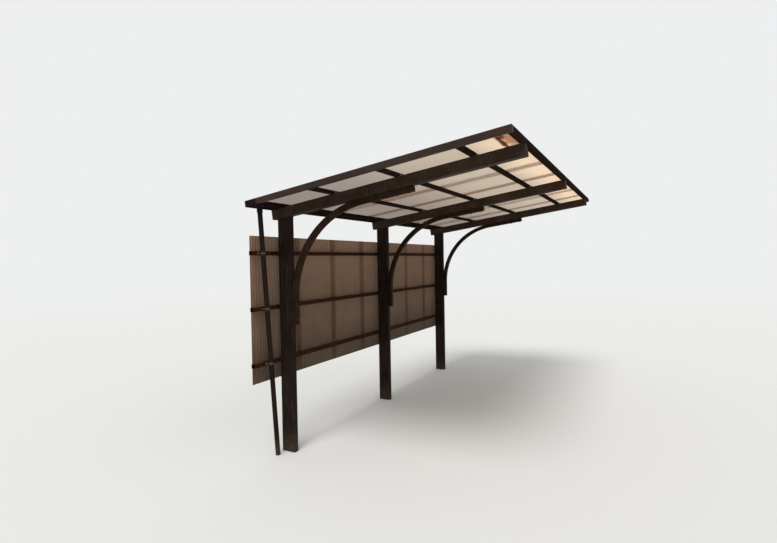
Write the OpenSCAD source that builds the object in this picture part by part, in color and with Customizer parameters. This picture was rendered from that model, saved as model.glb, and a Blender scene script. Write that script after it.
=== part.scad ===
// Bike shelter: a cantilever roof carried by three posts, with a corrugated
// back screen on three rails and a downspout at one end. Millimetres.
// The origin is at the foot of the middle post. +X points to the open front,
// where the roof rises, +Y runs along the row of posts and +Z is up.

/* [Layout] */
// Distance between neighbouring posts
post_spacing = 1800; // [1400:10:2400]
// How far the roof runs past the end posts
end_overhang = 390; // [250:10:700]
// Height of the beams' underside at the middle of the posts
beam_height = 2100; // [1980:10:2500]
// Slope of the roof in degrees
roof_slope = 8; // [3:0.5:14]
// Reach of the roof along its slope, from the posts to the front edge
roof_reach = 2160; // [1950:10:2600]

/* [Posts] */
// Depth of a post from back to front
post_depth = 140; // [100:1:180]
// Width of a post along the row
post_width = 50; // [40:1:70]
// Wall of a post
post_wall = 3; // [2:0.5:5]
// Corner radius of a post
post_corner = 4; // [1:0.5:8]
// Thickness of the plate that closes a post's foot
foot_plate = 6; // [4:1:12]

/* [Beams] */
// Width of a beam along the row
beam_width = 75; // [70:1:110]
// Depth of a beam, square to the slope
beam_depth = 90; // [70:1:130]
// Wall of a beam
beam_wall = 3; // [2:0.5:6]
// Corner radius of a beam
beam_corner = 4; // [1:0.5:8]
// Thickness of the caps on the ends of the beams and braces
cap_thickness = 3; // [2:0.5:6]
// How far a beam runs back past the gutter
beam_tail = 31; // [10:1:80]
// How far a beam's front end lies behind the roof's front edge
beam_setback = 5; // [0:1:60]

/* [Braces] */
// Side of the square brace tube
brace_size = 48; // [30:1:50]
// Wall of the brace tube
brace_wall = 2.5; // [1.5:0.5:4]
// Corner radius of the brace tube
brace_corner = 5; // [2:0.5:8]
// Bend radius at the brace's centreline
brace_radius = 822; // [600:1:900]
// Height of the brace's lower end
brace_foot = 1148; // [900:1:1200]
// Distance along the slope from the posts to the brace's front end
brace_reach = 1279; // [1100:1:1600]

/* [Roof frame] */
// Width of the side frames seen from above
frame_width = 30; // [24:1:50]
// Width of the front frame seen from above
front_width = 42; // [30:1:60]
// Height of the edge frame above the beams, square to the slope
frame_height = 40; // [37:1:60]
// How far the side frames hang below the tops of the beams
frame_drop = 6; // [2:1:12]
// Wall of the edge frame
frame_wall = 2; // [1.5:0.1:2.5]
// Depth of the groove that holds the panels
groove_depth = 10; // [6:1:14]
// Height of a purlin, and of the seat that the panels lie on
purlin_height = 26; // [20:1:28]
// Width of a purlin
purlin_width = 40; // [30:1:60]
// Wall of a purlin
purlin_wall = 2; // [1.5:0.1:3]
// Distance along the slope from the posts to the first purlin
purlin_offset = 546; // [300:1:700]
// Distance from one purlin to the next
purlin_pitch = 619; // [500:1:680]

/* [Gutter] */
// Width of the gutter, outside
gutter_width = 120; // [90:1:140]
// Wall of the gutter
gutter_wall = 2.5; // [1.5:0.1:3.5]
// Width of the lip along the gutter's outer edge
gutter_lip = 10; // [5:1:20]
// Depth of the drip fins under the gutter's two walls
gutter_drop = 12; // [6:1:20]
// Gap between a drip fin and the side of a beam
fin_gap = 2; // [1:0.5:6]

/* [Roof panels] */
// Thickness of a roof panel
panel_thickness = 3; // [2:0.5:4]
// Clearance between a panel's edge and what it fits into
panel_gap = 2; // [1:0.5:3]
// How far the panels reach back over the gutter
panel_overhang = 43; // [20:1:70]
// Width of the cap of a glazing bar
bar_cap = 60; // [24:1:80]
// Thickness of the cap of a glazing bar
bar_cap_thickness = 3; // [2:0.5:5]
// Thickness of the web of a glazing bar
bar_web = 14; // [3:0.5:24]

/* [Back screen] */
// Side of a square rail
rail_size = 35; // [25:1:50]
// Wall of a rail
rail_wall = 2; // [1.5:0.1:4]
// Height of the top rail's centre
rail_top_height = 1782; // [1600:1:1850]
// Distance from one rail down to the next
rail_pitch = 479; // [400:1:500]
// How far the rails end short of the roof's ends
rail_inset = 36; // [0:1:80]
// Height of the sheets' upper edge
sheet_top = 1932; // [1880:1:1960]
// Height of the sheets' lower edge
sheet_bottom = 660; // [400:1:750]
// How far the screen starts inside the rails' near end
sheet_inset = 9; // [0:1:80]
// Distance from one corrugation to the next
wave_pitch = 32.8; // [28:0.1:40]
// Depth of the corrugation, over both faces
wave_depth = 9; // [6:0.5:14]
// Thickness of a sheet
sheet_thickness = 1; // [0.8:0.1:2]
// Number of waves by which neighbouring sheets overlap
lap_waves = 2.5; // [1.5:1:4.5]

/* [Downspout] */
// Outer diameter of the downspout
pipe_outer = 42; // [34:1:50]
// Wall of the downspout
pipe_wall = 2.5; // [1.5:0.1:4]
// Gap between the downspout and the face of the rails
pipe_standoff = 9; // [5:0.5:12]
// Distance of the outlet from the roof's near end
outlet_inset = 104; // [90:1:200]
// Distance of the downspout's foot from the near post's centre
pipe_foot_offset = 122; // [80:1:200]
// Length of the outlet socket
socket_length = 60; // [40:1:90]
// Wall of the outlet socket
socket_wall = 3; // [2:0.5:5]
// Width of the socket's flange outside the socket
flange_width = 11; // [6:1:16]
// Thickness of the socket's flange
flange_thickness = 3; // [2:0.5:5]
// Distance from the gutter down to the end of the pipe in its socket
pipe_stop = 6; // [4:1:12]
// Height of a pipe clip
clip_height = 20; // [14:1:30]
// Thickness of a pipe clip's strap
clip_wall = 2; // [1.5:0.1:3]
// Thickness of a pipe clip's base plate
clip_base = 3; // [2:0.5:4]
// Length of a clip's base plate on each side of the strap
clip_ear = 16; // [12:1:24]
// Width of the neck between a clip's base and its strap
clip_neck = 14; // [8:1:20]

/* [Fits] */
// Clearance of a pipe in its bore, a panel in its groove and a sheet behind its rail
fit_gap = 0.3; // [0.2:0.05:0.4]

/* [Hidden] */

// Numbers of panels, sheets and segments in one wave
panel_count = 7;
sheet_count = 7;
wave_segments = 8;

// Smoothness of bends, corners and round parts
bend_fn = 180;
corner_fn = 32;
round_fn = 64;

// More than the part's own size, for the blocks that trim it
far = 3000;

// Half the roof's length along the row
roof_half = post_spacing + end_overhang;

// The downspout's axis, seen from the end, and its two ends
pipe_x = -post_depth / 2 + pipe_standoff + pipe_outer / 2;
outlet_y = -roof_half + outlet_inset;
pipe_foot_y = -post_spacing - pipe_foot_offset;
outlet_z = beam_height + (beam_depth + pipe_x * sin(roof_slope)) / cos(roof_slope);
pipe_lean = atan((pipe_foot_y - outlet_y) / outlet_z);
pipe_length = outlet_z / cos(pipe_lean);
pipe_inner = pipe_outer - 2 * pipe_wall;
pipe_bore = pipe_outer + 2 * fit_gap;

// Places along the slope
outlet_u = (pipe_x + beam_depth * sin(roof_slope)) / cos(roof_slope);
gutter_back = outlet_u - gutter_width / 2;
gutter_front = gutter_back + gutter_width;
beam_back = gutter_back - beam_tail;
beam_front = roof_reach - beam_setback;
panel_back = gutter_front - panel_overhang;
frame_inner = roof_reach - front_width;

// Heights above the beams' underside, square to the slope
frame_base = beam_depth;
panel_base = frame_base + purlin_height;
groove_height = panel_thickness + fit_gap;

// Places along the row
span_half = roof_half - frame_width;
panel_pitch = 2 * roof_half / panel_count;
rail_half = roof_half - rail_inset;
screen_start = -rail_half + sheet_inset;
screen_room = 2 * (rail_half - sheet_inset);

// Whole waves that each sheet covers, so that the sheets nest where they overlap
cover_waves = floor((screen_room / wave_pitch - lap_waves) / sheet_count);
sheet_waves = cover_waves + lap_waves;

// Places from back to front
rail_front = -post_depth / 2;
rail_back = rail_front - rail_size;

// The brace's centreline: a rise along the post, a bend and a run under the beam
brace_x = post_depth / 2 + brace_size / 2;
bend_x = brace_x + brace_radius;
bend_end_x = bend_x - brace_radius * sin(roof_slope);
bend_end_z = beam_height + (bend_end_x * sin(roof_slope) - brace_size / 2) / cos(roof_slope);
bend_z = bend_end_z - brace_radius * cos(roof_slope);
bend_end_u = bend_end_x / cos(roof_slope) - brace_size / 2 * tan(roof_slope);

// How far the brace's straight runs lap its bend, and how far they stand proud of it
bend_lap = 0.5;
bend_step = 0.02;

// The frame of the slope: X up the slope, Z square to it, from the beams' underside
module on_slope() {
    translate([0, 0, beam_height])
        rotate([0, -roof_slope, 0])
            children();
}

// The frame of the downspout: Z along its axis, from its foot
module on_pipe() {
    translate([pipe_x, pipe_foot_y, 0])
        rotate([pipe_lean, 0, 0])
            children();
}

// Everything above a plane parallel to the slope
module above_slope(height) {
    on_slope()
        translate([-far, -far, height])
            cube([2 * far, 2 * far, far]);
}

module rounded_rect(a, b, r) {
    square([a - 2 * r, b], center = true);
    square([a, b - 2 * r], center = true);
    for (i = [-1, 1], j = [-1, 1])
        translate([i * (a / 2 - r), j * (b / 2 - r)])
            circle(r = r, $fn = corner_fn);
}

module tube_profile(a, b, wall, corner) {
    difference() {
        rounded_rect(a, b, corner);
        rounded_rect(a - 2 * wall, b - 2 * wall, max(corner - wall, wall / 4));
    }
}

// Extrudes a profile along X, with its own X along Y and its own Y upwards
module along_x(length) {
    rotate([90, 0, 90])
        linear_extrude(length)
            children();
}

// Extrudes a profile along Y both ways, with its own X along X and its own Y upwards
module along_y(half_length) {
    rotate([90, 0, 0])
        linear_extrude(2 * half_length, center = true)
            children();
}

module post(index) {
    color("#2b2321")
        translate([0, index * post_spacing, 0])
            difference() {
                union() {
                    linear_extrude(beam_height + post_depth)
                        tube_profile(post_depth, post_width, post_wall, post_corner);
                    linear_extrude(foot_plate)
                        rounded_rect(post_depth, post_width, post_corner);
                }
                above_slope(0);
            }
}

module beam(index) {
    color("#2e2522")
        on_slope()
            translate([beam_back + cap_thickness, index * post_spacing, beam_depth / 2])
                along_x(beam_front - beam_back - 2 * cap_thickness)
                    tube_profile(beam_width, beam_depth, beam_wall, beam_corner);
}

// Section of the brace tube, thinned by a little on both faces
module brace_profile(thinned) {
    tube_profile(brace_size - 2 * thinned, brace_size - 2 * thinned,
        brace_wall - 2 * thinned, brace_corner - thinned);
}

// An arched brace of square tube: the two straight runs lap the ends of the bend
module brace(index) {
    color("#33291f")
        translate([0, index * post_spacing, 0]) {
            translate([brace_x, 0, brace_foot + cap_thickness])
                linear_extrude(bend_z + bend_lap - brace_foot - cap_thickness)
                    brace_profile(0);
            translate([bend_x, 0, bend_z])
                rotate([90, 0, 0])
                    rotate([0, 0, 90 + roof_slope])
                        rotate_extrude(angle = 90 - roof_slope, $fn = bend_fn)
                            translate([brace_radius, 0])
                                brace_profile(bend_step);
            on_slope()
                translate([bend_end_u - bend_lap, 0, -brace_size / 2])
                    along_x(brace_reach - cap_thickness - bend_end_u + bend_lap)
                        brace_profile(0);
        }
}

// The caps that close both ends of a beam and of its brace
module end_caps(index) {
    color("#262020")
        translate([0, index * post_spacing, 0]) {
            on_slope() {
                for (u = [beam_back, beam_front - cap_thickness])
                    translate([u, 0, beam_depth / 2])
                        along_x(cap_thickness)
                            rounded_rect(beam_width, beam_depth, beam_corner);
                translate([brace_reach - cap_thickness, 0, -brace_size / 2])
                    along_x(cap_thickness)
                        rounded_rect(brace_size, brace_size, brace_corner);
            }
            translate([brace_x, 0, brace_foot])
                linear_extrude(cap_thickness)
                    rounded_rect(brace_size, brace_size, brace_corner);
        }
}

// Section of the edge frame: X inwards from its outer face, Y upwards from the
// tops of the beams
module frame_profile(width, drop) {
    groove_top = purlin_height + groove_height;
    inside = width - 2 * frame_wall;
    difference() {
        translate([0, -drop])
            square([width, frame_height + drop]);
        translate([frame_wall, frame_wall - drop])
            square([inside, purlin_height + drop - 2 * frame_wall]);
        translate([width - groove_depth, purlin_height])
            square([2 * groove_depth, groove_height]);
        translate([frame_wall, groove_top + frame_wall])
            square([inside, frame_height - groove_top - 2 * frame_wall]);
    }
}

// A side of the roof, closed by a plate at each end; the groove stays open
// towards the gutter, where the panel runs on
module side_frame() {
    length = roof_reach - gutter_front;
    color("#3a2d2a")
        on_slope()
            translate([gutter_front, -roof_half, frame_base])
                difference() {
                    union() {
                        along_x(length)
                            frame_profile(frame_width, frame_drop);
                        for (u = [0, length - frame_wall])
                            translate([u, 0, -frame_drop])
                                cube([frame_wall, frame_width, frame_height + frame_drop]);
                    }
                    translate([-frame_wall, frame_width - groove_depth, purlin_height])
                        cube([3 * frame_wall, 2 * groove_depth, groove_height]);
                }
}

module front_frame() {
    color("#3a2d2a")
        on_slope()
            translate([roof_reach, 0, frame_base])
                mirror([1, 0, 0])
                    along_y(span_half)
                        frame_profile(front_width, 0);
}

// Section of the gutter: X inwards from its outer face, Y upwards from the
// tops of the beams
module gutter_profile() {
    difference() {
        square([gutter_width, frame_height]);
        translate([gutter_wall, gutter_wall])
            square([gutter_width - 2 * gutter_wall, frame_height]);
        translate([gutter_width / 2, purlin_height])
            square([gutter_width, frame_height]);
    }
    translate([0, frame_height - gutter_wall])
        square([gutter_lip, gutter_wall]);
    for (fin = [0, gutter_width - gutter_wall])
        translate([fin, -gutter_drop])
            square([gutter_wall, gutter_drop + gutter_wall]);
}

// The gutter with its end plates; its drip fins are notched round the beams
module gutter() {
    notch = beam_width + 2 * fin_gap;
    color("#332927")
        difference() {
            on_slope()
                translate([gutter_back, 0, frame_base]) {
                    along_y(roof_half)
                        gutter_profile();
                    for (y = [-roof_half, roof_half - gutter_wall])
                        translate([0, y, -gutter_drop])
                            cube([gutter_width, gutter_wall, frame_height + gutter_drop]);
                }
            for (i = [-1 : 1])
                on_slope()
                    translate([beam_back, i * post_spacing - notch / 2, 0])
                        cube([gutter_front + gutter_wall - beam_back, notch, frame_base]);
            on_pipe()
                translate([0, 0, pipe_length - pipe_outer])
                    cylinder(d = pipe_inner, h = 2 * pipe_outer, $fn = round_fn);
        }
}

module purlin(index) {
    color("#3a2f2b")
        on_slope()
            translate([purlin_offset + index * purlin_pitch, 0, frame_base])
                along_y(span_half)
                    difference() {
                        translate([-purlin_width / 2, 0])
                            square([purlin_width, purlin_height]);
                        translate([-purlin_width / 2 + purlin_wall, purlin_wall])
                            square([purlin_width - 2 * purlin_wall, purlin_height - 2 * purlin_wall]);
                    }
}

// Place along the row of the joint before a panel
function joint_y(index) = -roof_half + index * panel_pitch;

// A T bar over the joint between two panels
module glazing_bar(index) {
    color("#4a3c35")
        on_slope()
            translate([panel_back, joint_y(index), panel_base])
                along_x(frame_inner - panel_back) {
                    translate([-bar_web / 2, 0])
                        square([bar_web, panel_thickness]);
                    translate([-bar_cap / 2, panel_thickness])
                        square([bar_cap, bar_cap_thickness]);
                }
}

// How far a panel's edge lies inside a side or the front of the roof, or past a joint
edge_cover = frame_width - groove_depth + panel_gap;
front_cover = front_width - groove_depth + panel_gap;
web_cover = bar_web / 2 + panel_gap;

module roof_panel(index) {
    near = joint_y(index) + (index == 0 ? edge_cover : web_cover);
    beyond = joint_y(index + 1) - (index == panel_count - 1 ? edge_cover : web_cover);
    color("#d8ccb8", 0.7)
        on_slope()
            translate([panel_back, near, panel_base])
                cube([roof_reach - front_cover - panel_back, beyond - near, panel_thickness]);
}

module rail(index) {
    color("#4b2a1c")
        translate([(rail_front + rail_back) / 2, 0, rail_top_height - index * rail_pitch])
            along_y(rail_half)
                difference() {
                    square(rail_size, center = true);
                    square(rail_size - 2 * rail_wall, center = true);
                }
}

// Depth of the wave at a distance along the sheet, given in segments
function wave_x(step) = (wave_depth - sheet_thickness) / 2 * (cos(360 * step / wave_segments) - 1);

// A sheet with upright corrugations; every second one lies in a layer behind
module screen_sheet(index) {
    steps = round(sheet_waves * wave_segments);
    step_y = wave_pitch / wave_segments;
    front = [for (i = [0 : steps]) [wave_x(i), i * step_y]];
    back = [for (i = [steps : -1 : 0]) [wave_x(i) - sheet_thickness, i * step_y]];
    layer = (index % 2) * (sheet_thickness + fit_gap);
    color("#80705f", 0.8)
        translate([rail_back - fit_gap - layer, screen_start + index * cover_waves * wave_pitch, sheet_bottom])
            linear_extrude(sheet_top - sheet_bottom)
                polygon(concat(front, back));
}

module downspout() {
    color("#322e2c")
        difference() {
            on_pipe()
                translate([0, 0, -pipe_outer])
                    cylinder(d = pipe_outer, h = pipe_length + 2 * pipe_outer, $fn = round_fn);
            on_pipe()
                translate([0, 0, -2 * pipe_outer])
                    cylinder(d = pipe_inner, h = pipe_length + 4 * pipe_outer, $fn = round_fn);
            above_slope(frame_base - pipe_stop);
            translate([-far, -far, -far])
                cube([2 * far, 2 * far, far]);
        }
}

// Socket under the gutter, with a flange that follows the slope
module outlet_socket() {
    socket_outer = pipe_bore + 2 * socket_wall;
    color("#2c2826")
        difference() {
            union() {
                on_slope()
                    translate([outlet_u, outlet_y, frame_base - flange_thickness])
                        cylinder(d = socket_outer + 2 * flange_width, h = flange_thickness, $fn = round_fn);
                on_pipe()
                    translate([0, 0, pipe_length - socket_length])
                        cylinder(d = socket_outer, h = 2 * socket_length, $fn = round_fn);
            }
            on_pipe()
                translate([0, 0, pipe_length - 2 * socket_length])
                    cylinder(d = pipe_bore, h = 4 * socket_length, $fn = round_fn);
            above_slope(frame_base);
        }
}

// A strap round the pipe on a base plate that lies against the rail's face
module pipe_clip(height) {
    strap = pipe_bore + 2 * clip_wall;
    reach = height / cos(pipe_lean);
    pipe_y = pipe_foot_y - height * tan(pipe_lean);
    base = strap + 2 * clip_ear;
    difference() {
        union() {
            on_pipe()
                translate([0, 0, reach - clip_height / 2])
                    cylinder(d = strap, h = clip_height, $fn = round_fn);
            translate([rail_front, pipe_y - clip_neck / 2, height - clip_height / 2])
                cube([pipe_x - rail_front - pipe_outer / 4, clip_neck, clip_height]);
            translate([rail_front, pipe_y - base / 2, height - clip_height / 2])
                cube([clip_base, base, clip_height]);
        }
        on_pipe()
            translate([0, 0, reach - clip_height])
                cylinder(d = pipe_bore, h = 2 * clip_height, $fn = round_fn);
    }
}

module pipe_clips() {
    color("#4a4644")
        for (i = [0 : 2])
            pipe_clip(rail_top_height - i * rail_pitch);
}

post(-1);  // post_1
post(0);  // post_2
post(1);  // post_3
beam(-1);  // beam_1
beam(0);  // beam_2
beam(1);  // beam_3
brace(-1);  // brace_1
brace(0);  // brace_2
brace(1);  // brace_3
end_caps(-1);  // end_caps_1
end_caps(0);  // end_caps_2
end_caps(1);  // end_caps_3
side_frame();  // side_frame_near
mirror([0, 1, 0]) side_frame();  // side_frame_far
front_frame();
gutter();
purlin(0);  // purlin_1
purlin(1);  // purlin_2
purlin(2);  // purlin_3
glazing_bar(1);  // glazing_bar_1
glazing_bar(2);  // glazing_bar_2
glazing_bar(3);  // glazing_bar_3
glazing_bar(4);  // glazing_bar_4
glazing_bar(5);  // glazing_bar_5
glazing_bar(6);  // glazing_bar_6
roof_panel(0);  // roof_panel_1
roof_panel(1);  // roof_panel_2
roof_panel(2);  // roof_panel_3
roof_panel(3);  // roof_panel_4
roof_panel(4);  // roof_panel_5
roof_panel(5);  // roof_panel_6
roof_panel(6);  // roof_panel_7
rail(0);  // rail_top
rail(1);  // rail_middle
rail(2);  // rail_lower
screen_sheet(0);  // screen_sheet_1
screen_sheet(1);  // screen_sheet_2
screen_sheet(2);  // screen_sheet_3
screen_sheet(3);  // screen_sheet_4
screen_sheet(4);  // screen_sheet_5
screen_sheet(5);  // screen_sheet_6
screen_sheet(6);  // screen_sheet_7
downspout();
outlet_socket();
pipe_clips();
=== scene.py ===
"""Bike shelter: finishes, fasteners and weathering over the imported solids, in metres."""
import math

import bmesh
import bpy
from mathutils import Matrix, Vector


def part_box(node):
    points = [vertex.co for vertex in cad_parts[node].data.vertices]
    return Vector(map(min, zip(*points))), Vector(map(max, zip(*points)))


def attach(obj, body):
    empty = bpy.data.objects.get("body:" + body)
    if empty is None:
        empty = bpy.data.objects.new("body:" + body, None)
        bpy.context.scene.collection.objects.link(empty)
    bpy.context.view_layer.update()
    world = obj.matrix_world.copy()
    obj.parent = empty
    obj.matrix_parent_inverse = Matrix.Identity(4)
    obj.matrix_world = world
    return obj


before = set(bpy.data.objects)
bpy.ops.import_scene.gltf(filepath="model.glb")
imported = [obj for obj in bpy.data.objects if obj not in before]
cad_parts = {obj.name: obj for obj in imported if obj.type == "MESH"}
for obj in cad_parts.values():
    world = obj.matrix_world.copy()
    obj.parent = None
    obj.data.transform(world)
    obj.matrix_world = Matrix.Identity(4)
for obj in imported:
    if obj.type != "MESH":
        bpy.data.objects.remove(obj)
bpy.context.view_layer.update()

# The shelter's driving dimensions, as in the solids
ROOF_SLOPE = math.radians(8)
BEAM_HEIGHT = 2.1
BEAM_DEPTH = 0.09
BRACE_FOOT = 1.148
BRACE_REACH = 1.279
FRAME_HEIGHT = 0.04
PURLIN_HEIGHT = 0.026
PURLIN_WIDTH = 0.04
PURLIN_PLACES = (0.546, 1.165, 1.784)
PANEL_THICKNESS = 0.003
BAR_CAP_THICKNESS = 0.003
ROOF_REACH = 2.16
SIDE_WIDTH = 0.03
FRONT_WIDTH = 0.042
GUTTER_WIDTH = 0.12
GUTTER_WALL = 0.0025
WAVE_PITCH = 0.0328
COVER_WAVES = 18
LAP_WAVES = 2.5
SHEET_THICKNESS = 0.001
SHEET_GAP = 0.0003
SHEET_BOTTOM = 0.66
PIPE_RADIUS = 0.021
OUTLET_INSET = 0.104
FLANGE_THICKNESS = 0.003
CLIP_BASE = 0.003
CLIP_STRAP = 0.0466
CLIP_EAR = 0.016
PANEL_TOP = BEAM_DEPTH + PURLIN_HEIGHT + PANEL_THICKNESS


def numbered(name, count):
    return tuple(f"{name}_{i}" for i in range(1, count + 1))


POSTS = numbered("post", 3)
BEAMS = numbered("beam", 3)
BRACES = numbered("brace", 3)
CAPS = numbered("end_caps", 3)
PURLINS = numbered("purlin", 3)
BARS = numbered("glazing_bar", 6)
PANELS = numbered("roof_panel", 7)
SHEETS = numbered("screen_sheet", 7)
SIDE_FRAMES = ("side_frame_near", "side_frame_far")
RAILS = ("rail_top", "rail_middle", "rail_lower")

UP_SLOPE = Vector((math.cos(ROOF_SLOPE), 0, math.sin(ROOF_SLOPE)))
OFF_SLOPE = Vector((-math.sin(ROOF_SLOPE), 0, math.cos(ROOF_SLOPE)))
FORWARD = Vector((1, 0, 0))
ALONG_ROW = Vector((0, 1, 0))
UPWARD = Vector((0, 0, 1))


def slope_point(u, y, w):
    """A point given along the slope, along the row and square to the slope."""
    return Vector((
        u * math.cos(ROOF_SLOPE) - w * math.sin(ROOF_SLOPE),
        y,
        BEAM_HEIGHT + u * math.sin(ROOF_SLOPE) + w * math.cos(ROOF_SLOPE),
    ))


def middle(node):
    low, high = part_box(node)
    return (low + high) / 2


# Places read from the solids
ROOF_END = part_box("side_frame_far")[1].y
POST_PLACES = tuple(middle(name).y for name in POSTS)
POST_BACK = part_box("post_2")[0].x
POST_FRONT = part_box("post_2")[1].x
POST_HALF_WIDTH = (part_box("post_2")[1].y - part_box("post_2")[0].y) / 2
BRACE_FRONT = POST_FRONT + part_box("brace_2")[1].y * 2
RAIL_HEIGHTS = tuple(middle(name).z for name in RAILS)
RAIL_HALF = (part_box("rail_top")[1].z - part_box("rail_top")[0].z) / 2
RAIL_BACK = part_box("rail_top")[0].x
SCREEN_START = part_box("screen_sheet_1")[0].y
BAR_PLACES = tuple(middle(name).y for name in BARS)
BAR_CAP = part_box("glazing_bar_1")[1].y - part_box("glazing_bar_1")[0].y
FRAME_LEAN = (BEAM_DEPTH + FRAME_HEIGHT) * math.sin(ROOF_SLOPE)
GUTTER_FRONT = (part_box("side_frame_far")[0].x + FRAME_LEAN) / math.cos(ROOF_SLOPE)
GUTTER_BACK = GUTTER_FRONT - GUTTER_WIDTH
PIPE_X = middle("downspout").x
PIPE_FOOT_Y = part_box("downspout")[1].y - PIPE_RADIUS
OUTLET_U = (PIPE_X + BEAM_DEPTH * math.sin(ROOF_SLOPE)) / math.cos(ROOF_SLOPE)
OUTLET = slope_point(OUTLET_U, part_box("gutter")[0].y + OUTLET_INSET, BEAM_DEPTH)


# Short ways to add objects and nodes

def put(name, data):
    thing = bpy.data.objects.new(name, data)
    bpy.context.scene.collection.objects.link(thing)
    return thing


def empty_nodes(owner):
    owner.use_nodes = True
    owner.node_tree.nodes.clear()
    return owner.node_tree


def linear(colour):
    """A colour written as six hexadecimal digits, as the shader's linear values."""
    parts = [int(colour[i:i + 2], 16) / 255 for i in (1, 3, 5)]
    return tuple(c / 12.92 if c <= 0.04045 else ((c + 0.055) / 1.055) ** 2.4 for c in parts) + (1,)


def add(tree, kind, inputs=None, **settings):
    """A node whose sockets get values or links; a socket is named or numbered."""
    made = tree.nodes.new(kind)
    for name, value in settings.items():
        setattr(made, name, value)
    for name, value in (inputs or {}).items():
        if isinstance(value, bpy.types.NodeSocket):
            tree.links.new(value, made.inputs[name])
        else:
            made.inputs[name].default_value = value
    return made


def maths(tree, operation, *values, clamp=False):
    return add(tree, "ShaderNodeMath", dict(enumerate(values)),
               operation=operation, use_clamp=clamp).outputs[0]


def vector_maths(tree, operation, *values):
    return add(tree, "ShaderNodeVectorMath", dict(enumerate(values)), operation=operation).outputs


def times(tree, a, b):
    return maths(tree, "MULTIPLY", a, b)


def plus(tree, value, mask, amount):
    """A value raised by a mask, at most by the amount."""
    return maths(tree, "ADD", value, times(tree, mask, amount))


def minus(tree, value, mask, amount, clamp=False):
    """A value lowered by a mask, at most by the amount."""
    return maths(tree, "SUBTRACT", value, times(tree, mask, amount), clamp=clamp)


def at_least(tree, value, mask, level):
    """A value that a mask lifts to a level."""
    return maths(tree, "MAXIMUM", value, times(tree, mask, level))


def scale_of(tree, size):
    """The noise scale that gives features of this size."""
    return maths(tree, "DIVIDE", 1.0, size)


def axis(tree, vector, name):
    return add(tree, "ShaderNodeSeparateXYZ", {0: vector}).outputs[name]


def spread(tree, value, low, high, to_low=0.0, to_high=1.0):
    """Maps a value from one range to another, smoothly and without running past the ends."""
    return add(tree, "ShaderNodeMapRange", {
        "Value": value, "From Min": low, "From Max": high, "To Min": to_low, "To Max": to_high,
    }, interpolation_type="SMOOTHSTEP").outputs["Result"]


def between(tree, share, low, high):
    """A value that runs from low to high with a share."""
    return spread(tree, share, 0, 1, low, high)


def blend(tree, share, under, over):
    return add(tree, "ShaderNodeMix", {0: share, 6: under, 7: over}, data_type="RGBA").outputs[2]


def mix_shaders(tree, share, first, second):
    mix = add(tree, "ShaderNodeMixShader", {0: share, 1: first.outputs[0], 2: second.outputs[0]})
    return mix.outputs[0]


def noise(tree, vector, scale, detail, roughness, distortion=0.0):
    return add(tree, "ShaderNodeTexNoise", {
        "Vector": vector, "Scale": scale, "Detail": detail, "Roughness": roughness,
        "Distortion": distortion,
    }).outputs["Fac"]


# Camera, light and floor

BACKDROP = linear("#eeefef")


def place_camera():
    """Stands where the photo was taken from, at eye height."""
    place = Vector((2.856, -5.191, 1.70))
    yaw, pitch, roll = 0.4926, -0.02239, -0.01713
    ahead = Vector((
        -math.sin(yaw) * math.cos(pitch), math.cos(yaw) * math.cos(pitch), math.sin(pitch),
    ))
    right = Vector((math.cos(yaw), math.sin(yaw), 0))
    up = right.cross(ahead)
    across = right * math.cos(roll) + up * math.sin(roll)
    upright = up * math.cos(roll) - right * math.sin(roll)
    camera = put("camera", bpy.data.cameras.new("camera"))
    camera.data.sensor_width = 36
    camera.data.lens = 22.41
    camera.data.clip_start = 0.05
    camera.data.clip_end = 200
    camera.matrix_world = Matrix((
        (across.x, upright.x, -ahead.x, place.x),
        (across.y, upright.y, -ahead.y, place.y),
        (across.z, upright.z, -ahead.z, place.z),
        (0, 0, 0, 1),
    ))
    bpy.context.scene.camera = camera


def light_world():
    """Soft light from all sides, behind a plain pale background."""
    world = bpy.data.worlds.new("studio")
    bpy.context.scene.world = world
    tree = empty_nodes(world)
    ray = add(tree, "ShaderNodeLightPath").outputs
    seen = maths(tree, "MAXIMUM", ray["Is Camera Ray"], ray["Is Transmission Ray"])
    seen = maths(tree, "MAXIMUM", seen, ray["Is Glossy Ray"])
    soft = add(tree, "ShaderNodeBackground", {"Color": (1.0, 0.995, 0.985, 1), "Strength": 0.6})
    plain = add(tree, "ShaderNodeBackground", {"Color": BACKDROP, "Strength": 1.0})
    add(tree, "ShaderNodeOutputWorld", {"Surface": mix_shaders(tree, seen, soft, plain)})


def add_sun(name, strength, spread_angle, height, bearing, colour):
    """A soft, far lamp: its height above the horizon and bearing from +X towards +Y in degrees."""
    lamp = bpy.data.lights.new(name, "SUN")
    lamp.energy = strength
    lamp.angle = math.radians(spread_angle)
    lamp.color = colour
    height, bearing = math.radians(height), math.radians(bearing)
    towards = Vector((
        math.cos(height) * math.cos(bearing),
        math.cos(height) * math.sin(bearing),
        math.sin(height),
    ))
    put(name, lamp).rotation_euler = towards.to_track_quat("Z", "Y").to_euler()


def lay_floor():
    """A plain floor just below the feet, which fades into the background."""
    reach, drop = 80, 0.001
    mesh = bpy.data.meshes.new("floor")
    corners = [(x * reach, y * reach, -drop) for x, y in ((-1, -1), (1, -1), (1, 1), (-1, 1))]
    mesh.from_pydata(corners, [], [(0, 1, 2, 3)])
    material, tree, place = start_material("studio floor")
    far = vector_maths(tree, "LENGTH", place)["Value"]
    fade_start, fade_end = 7.0, 24.0
    fade = spread(tree, far, fade_start, fade_end)
    share = times(tree, fade, add(tree, "ShaderNodeLightPath").outputs["Is Camera Ray"])
    ground = add(tree, "ShaderNodeBsdfDiffuse", {"Color": linear("#dedfde")})
    beyond = add(tree, "ShaderNodeEmission", {"Color": BACKDROP, "Strength": 1.0})
    end_material(tree, mix_shaders(tree, share, ground, beyond))
    mesh.materials.append(material)
    floor = put("floor", mesh)


# Effects shared by the materials

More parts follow.
